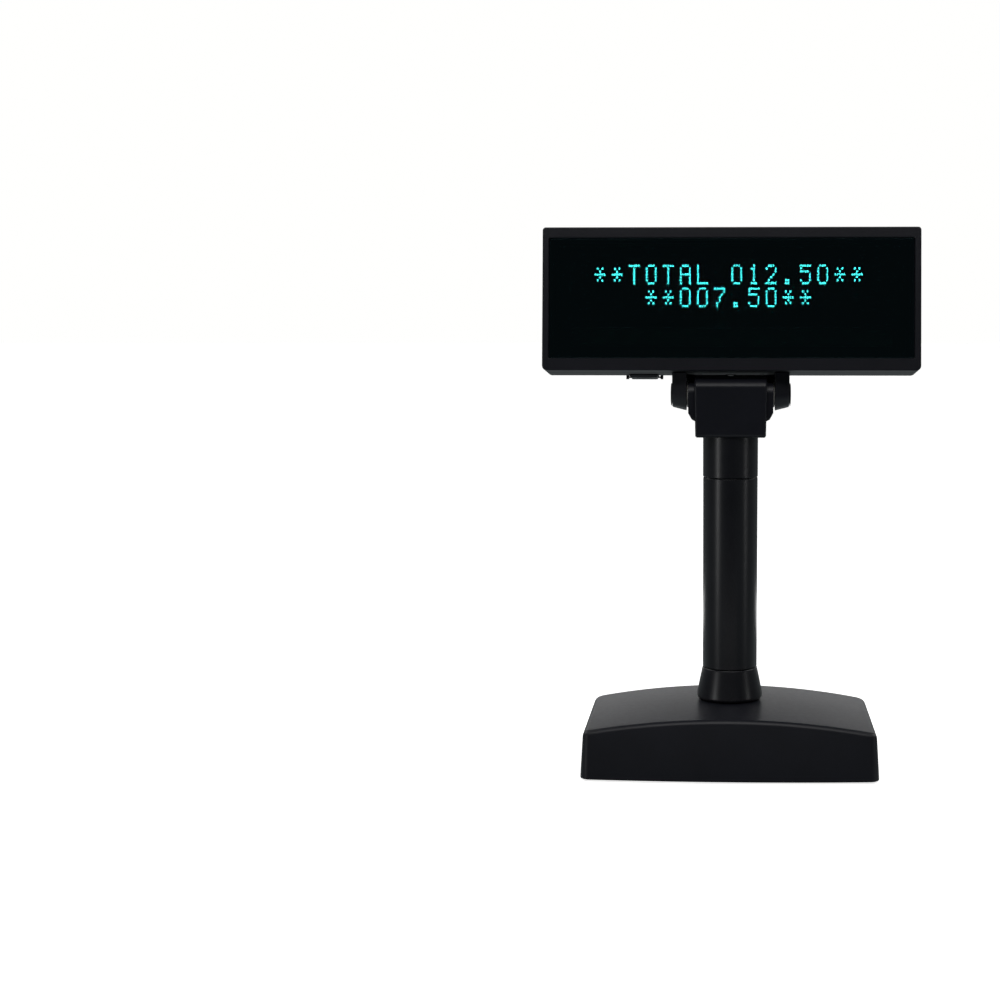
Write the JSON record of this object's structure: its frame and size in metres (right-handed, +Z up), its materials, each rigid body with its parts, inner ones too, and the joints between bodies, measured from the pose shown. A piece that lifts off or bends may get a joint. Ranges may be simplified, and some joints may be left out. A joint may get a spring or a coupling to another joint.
{
  "type": "customer pole display",
  "caption": "Two-line customer display head that tilts and swivels on a sectional pole with a flared collar and a weighted arched base.",
  "frame": {"origin": "middle of the footprint, on the surface that the feet stand on", "axes": "+Z up along the pole, -Y out of the display's front, +X to the right of a person who reads the display"},
  "size_m": [0.204, 0.0916, 0.2933],
  "materials": {
    "black_abs": "fine moulded texture, low sheen",
    "pole_plastic": "smooth satin, extruded and moulded tube",
    "smoked_acrylic": "polished smoked filter window",
    "clear_glass": "clear tube glass",
    "anode_glass": "dark printed anode plate",
    "phosphor_glow": "lit blue-green phosphor dots",
    "board_green": "solder-masked board",
    "component_black": "moulded component body",
    "capacitor_sleeve": "shrink sleeve",
    "steel_ballast": "plain sheet steel",
    "screw_steel": "black zinc",
    "nylon": "natural nylon",
    "rubber": "moulded rubber",
    "cable_jacket": "soft cable jacket",
    "switch_red": "moulded switch case",
    "switch_white": "moulded switch actuator"
  },
  "bodies": {
    "base": {"base_cover": "black_abs", "base_plate": "black_abs", "ballast_plate": "steel_ballast", "foot_front_left": "rubber", "foot_front_right": "rubber", "foot_rear_left": "rubber", "foot_rear_right": "rubber", "base_screw_1": "screw_steel", "base_screw_2": "screw_steel", "base_screw_3": "screw_steel", "base_screw_4": "screw_steel", "interface_board": "board_green", "serial_socket": "component_black", "power_jack": "component_black", "pole_collar": "pole_plastic", "collar_lock_ring": "nylon", "extension_tube": "pole_plastic", "upper_tube": "pole_plastic", "extension_lock_screw": "screw_steel", "upper_lock_screw": "screw_steel", "swivel_washer": "nylon", "swivel_retaining_ring": "screw_steel", "pole_cable": "cable_jacket"},
    "neck": {"neck_front_shell": "black_abs", "neck_rear_shell": "black_abs", "neck_screw_1": "screw_steel", "neck_screw_2": "screw_steel", "tilt_axle": "screw_steel", "axle_nut": "screw_steel", "neck_cable": "cable_jacket"},
    "head": {"front_bezel": "black_abs", "rear_cover": "black_abs", "display_window": "smoked_acrylic", "tilt_bracket": "black_abs", "friction_washer_left": "nylon", "friction_washer_right": "nylon", "hinge_cap_left": "black_abs", "hinge_cap_right": "black_abs", "bracket_screw_1": "screw_steel", "bracket_screw_2": "screw_steel", "cover_screw_1": "screw_steel", "cover_screw_2": "screw_steel", "cover_screw_3": "screw_steel", "cover_screw_4": "screw_steel", "vfd_front_glass": "clear_glass", "vfd_spacer": "clear_glass", "vfd_anode_plate": "anode_glass", "driver_board": "board_green", "microcontroller": "component_black", "filter_capacitor": "capacitor_sleeve", "cable_header": "switch_white", "head_cable": "cable_jacket", "switch_bank": "switch_red", "hatch_pin": "screw_steel"},
    "hatch": {"switch_hatch": "black_abs"},
    "slider_1": {"switch_slider_1": "switch_white"},
    "slider_2": {"switch_slider_2": "switch_white"},
    "slider_3": {"switch_slider_3": "switch_white"},
    "slider_4": {"switch_slider_4": "switch_white"}
  },
  "joints": [
    {"name": "neck_swivel", "type": "hinge", "parent": "base", "child": "neck", "pos_m": [0, 0.0108, 0.19], "axis": [0, 0, 1], "range_deg": [-165, 165]},
    {"name": "head_tilt", "type": "hinge", "parent": "neck", "child": "head", "pos_m": [0, 0.0108, 0.203], "axis": [-1, 0, 0], "range_deg": [-7.2, 28]},
    {"name": "hatch_hinge", "type": "hinge", "parent": "head", "child": "hatch", "pos_m": [-0.048, 0.02764, 0.21181], "axis": [1, 0, 0], "range_deg": [0, 95]},
    {"name": "switch_slide_1", "type": "slide", "parent": "head", "child": "slider_1", "axis": [0, 0.9921, -0.1253], "range_m": [0, 0.0015]},
    {"name": "switch_slide_2", "type": "slide", "parent": "head", "child": "slider_2", "axis": [0, 0.9921, -0.1253], "range_m": [0, 0.0015]},
    {"name": "switch_slide_3", "type": "slide", "parent": "head", "child": "slider_3", "axis": [0, 0.9921, -0.1253], "range_m": [0, 0.0015]},
    {"name": "switch_slide_4", "type": "slide", "parent": "head", "child": "slider_4", "axis": [0, 0.9921, -0.1253], "range_m": [0, 0.0015]}
  ]
}
